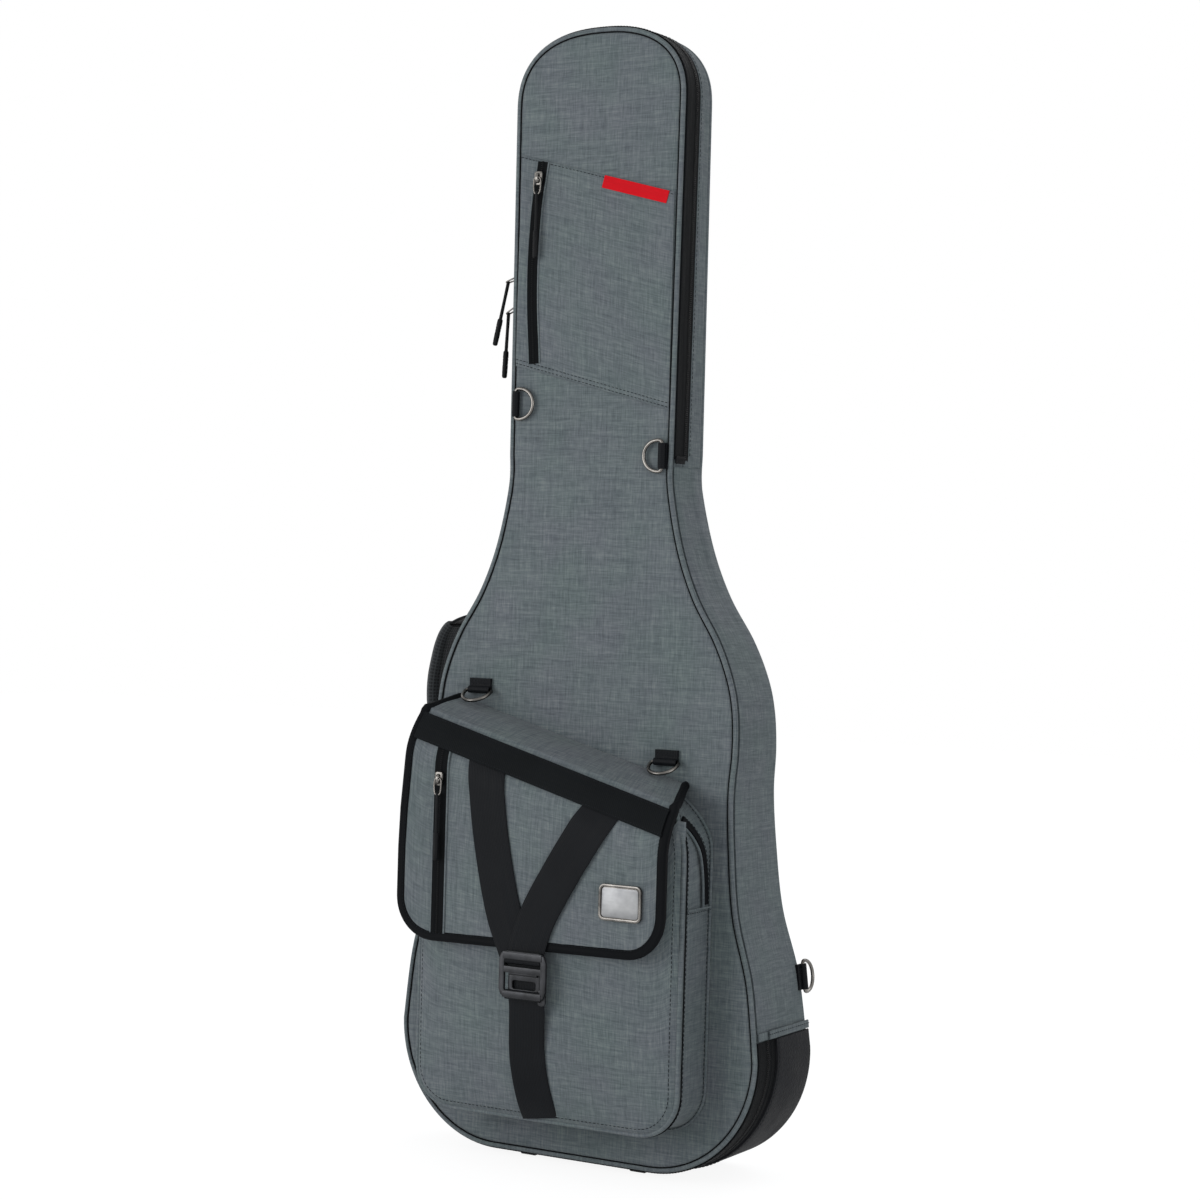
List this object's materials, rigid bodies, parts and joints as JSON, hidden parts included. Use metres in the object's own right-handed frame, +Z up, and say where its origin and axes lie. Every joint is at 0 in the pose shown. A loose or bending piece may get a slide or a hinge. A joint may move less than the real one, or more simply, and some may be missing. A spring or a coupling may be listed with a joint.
{
  "type": "padded gig bag",
  "caption": "Padded guitar gig bag: hinged zipped lid, neck pocket, front pocket with buckled flap, side handle and shoulder harness.",
  "frame": {"origin": "on the floor, under the middle of the standing bag's box", "axes": "+Z up along the bag, -Y towards the front with the pockets, +X to the right of someone who looks at the front"},
  "size_m": [0.3976, 0.2142, 1.0713],
  "materials": {
    "canvas": "heathered grey canvas with a fine slub weave",
    "shade_canvas": "the same canvas on the gusset",
    "webbing": "black webbing with a soft sheen",
    "ribbed_band": "black ribbed webbing",
    "zip_tape": "black zip tape and coil",
    "rubber": "dark grey textured rubber",
    "foam": "closed-cell foam under cloth",
    "plush": "soft short-pile lining",
    "air_mesh": "padded spacer mesh",
    "nickel": "polished nickel",
    "gunmetal": "matte dark grey",
    "badge_plate": "satin silver plate",
    "plastic": "black moulded plastic",
    "label_red": "plain red woven label"
  },
  "bodies": {
    "shell": {"back_panel": "canvas", "back_foam": "foam", "back_lining": "plush", "gusset_right": "shade_canvas", "gusset_left": "shade_canvas", "gusset_neck": "shade_canvas", "zip_tape_shell": "zip_tape", "boot": "rubber", "end_block": "foam", "neck_cradle": "foam", "side_left_tab": "webbing", "side_right_tab": "webbing", "handle_webbing": "webbing", "handle_pad": "air_mesh", "shoulder_yoke": "webbing", "shoulder_strap_left": "air_mesh", "strap_adjuster_left": "plastic", "strap_webbing_left": "webbing", "shoulder_strap_right": "air_mesh", "strap_adjuster_right": "plastic", "strap_webbing_right": "webbing"},
    "lid": {"lid_panel": "canvas", "lid_piping": "canvas", "lid_band": "shade_canvas", "zip_tape_lid": "zip_tape", "lid_foam": "foam", "lid_lining": "plush", "neck_pocket_panel": "canvas", "neck_pocket_zip": "zip_tape", "blank_label": "label_red", "pocket_gusset": "shade_canvas", "pocket_face": "canvas", "flap_top": "canvas", "lower_strap": "webbing", "strap_hook": "gunmetal", "neck_left_tab": "webbing", "neck_right_tab": "webbing", "flap_left_tab": "webbing", "flap_right_tab": "webbing"},
    "flap": {"flap_panel": "canvas", "flap_band": "ribbed_band", "flap_binding": "webbing", "v_strap": "webbing", "flap_zip": "zip_tape", "buckle": "gunmetal", "plain_badge": "badge_plate"},
    "neck_left_ring": {"neck_left_ring": "nickel"},
    "neck_right_ring": {"neck_right_ring": "nickel"},
    "flap_left_ring": {"flap_left_ring": "nickel"},
    "flap_right_ring": {"flap_right_ring": "nickel"},
    "side_left_ring": {"side_left_ring": "nickel"},
    "side_right_ring": {"side_right_ring": "nickel"},
    "main_upper_slider": {"main_upper_slider": "nickel"},
    "main_upper_pull": {"main_upper_pull": "plastic"},
    "main_lower_slider": {"main_lower_slider": "nickel"},
    "main_lower_pull": {"main_lower_pull": "plastic"},
    "neck_pocket_slider": {"neck_pocket_slider": "nickel"},
    "neck_pocket_pull": {"neck_pocket_pull": "plastic"},
    "flap_slider": {"flap_slider": "nickel"},
    "flap_pull": {"flap_pull": "plastic"}
  },
  "joints": [
    {"name": "lid_hinge", "type": "hinge", "parent": "shell", "child": "lid", "pos_m": [0.20074, 0.00382, 0.5], "axis": [0, 0, 1], "range_deg": [0, 165]},
    {"name": "flap_hinge", "type": "hinge", "parent": "lid", "child": "flap", "pos_m": [0.00374, -0.07318, 0.3885], "axis": [-0.9637, 0, 0.2669], "range_deg": [0, 120]},
    {"name": "main_upper_travel", "type": "slide", "parent": "shell", "child": "main_upper_slider", "axis": [-0.0073, 0, 1], "range_m": [0, 0.15]},
    {"name": "main_upper_pull_swing", "type": "hinge", "parent": "main_upper_slider", "child": "main_upper_pull", "pos_m": [-0.09211, 0.00382, 0.84196], "axis": [0, 1, 0], "range_deg": [0, 100]},
    {"name": "main_lower_travel", "type": "slide", "parent": "shell", "child": "main_lower_slider", "axis": [-0.0073, 0, 1], "range_m": [-0.075, 0]},
    {"name": "main_lower_pull_swing", "type": "hinge", "parent": "main_lower_slider", "child": "main_lower_pull", "pos_m": [-0.0919, 0.00382, 0.81396], "axis": [0, 1, 0], "range_deg": [0, 100]},
    {"name": "neck_pocket_travel", "type": "slide", "parent": "lid", "child": "neck_pocket_slider", "axis": [0, 0, 1], "range_m": [-0.155, 0]},
    {"name": "neck_pocket_pull_swing", "type": "hinge", "parent": "neck_pocket_slider", "child": "neck_pocket_pull", "pos_m": [-0.05652, -0.02668, 0.93108], "axis": [-1, 0, 0], "range_deg": [0, 130]},
    {"name": "flap_travel", "type": "slide", "parent": "flap", "child": "flap_slider", "axis": [0, 0, 1], "range_m": [-0.12, 0]},
    {"name": "flap_pull_swing", "type": "hinge", "parent": "flap_slider", "child": "flap_pull", "pos_m": [-0.09926, -0.10388, 0.36403], "axis": [-1, 0, 0], "range_deg": [0, 110]},
    {"name": "neck_left_ring_swing", "type": "hinge", "parent": "lid", "child": "neck_left_ring", "pos_m": [-0.0764, -0.02208, 0.718], "axis": [0, 0, -1], "range_deg": [0, 140]},
    {"name": "neck_right_ring_swing", "type": "hinge", "parent": "lid", "child": "neck_right_ring", "pos_m": [0.08339, -0.02208, 0.669], "axis": [0, 0, 1], "range_deg": [0, 140]},
    {"name": "flap_left_ring_swing", "type": "hinge", "parent": "lid", "child": "flap_left_ring", "pos_m": [-0.10826, -0.02208, 0.44452], "axis": [-1, 0, 0], "range_deg": [0, 90]},
    {"name": "flap_right_ring_swing", "type": "hinge", "parent": "lid", "child": "flap_right_ring", "pos_m": [0.09674, -0.02208, 0.38774], "axis": [-1, 0, 0], "range_deg": [0, 90]},
    {"name": "side_left_ring_swing", "type": "hinge", "parent": "shell", "child": "side_left_ring", "pos_m": [-0.18502, 0.08446, 0.18751], "axis": [0.1302, 0, 0.9915], "range_deg": [-60, 110]},
    {"name": "side_right_ring_swing", "type": "hinge", "parent": "shell", "child": "side_right_ring", "pos_m": [0.1925, 0.08446, 0.18751], "axis": [0.1302, 0, -0.9915], "range_deg": [-60, 110]}
  ],
  "couplings": [
    {"joint": "main_lower_pull_swing", "follows": "main_upper_pull_swing", "ratio": 1}
  ]
}
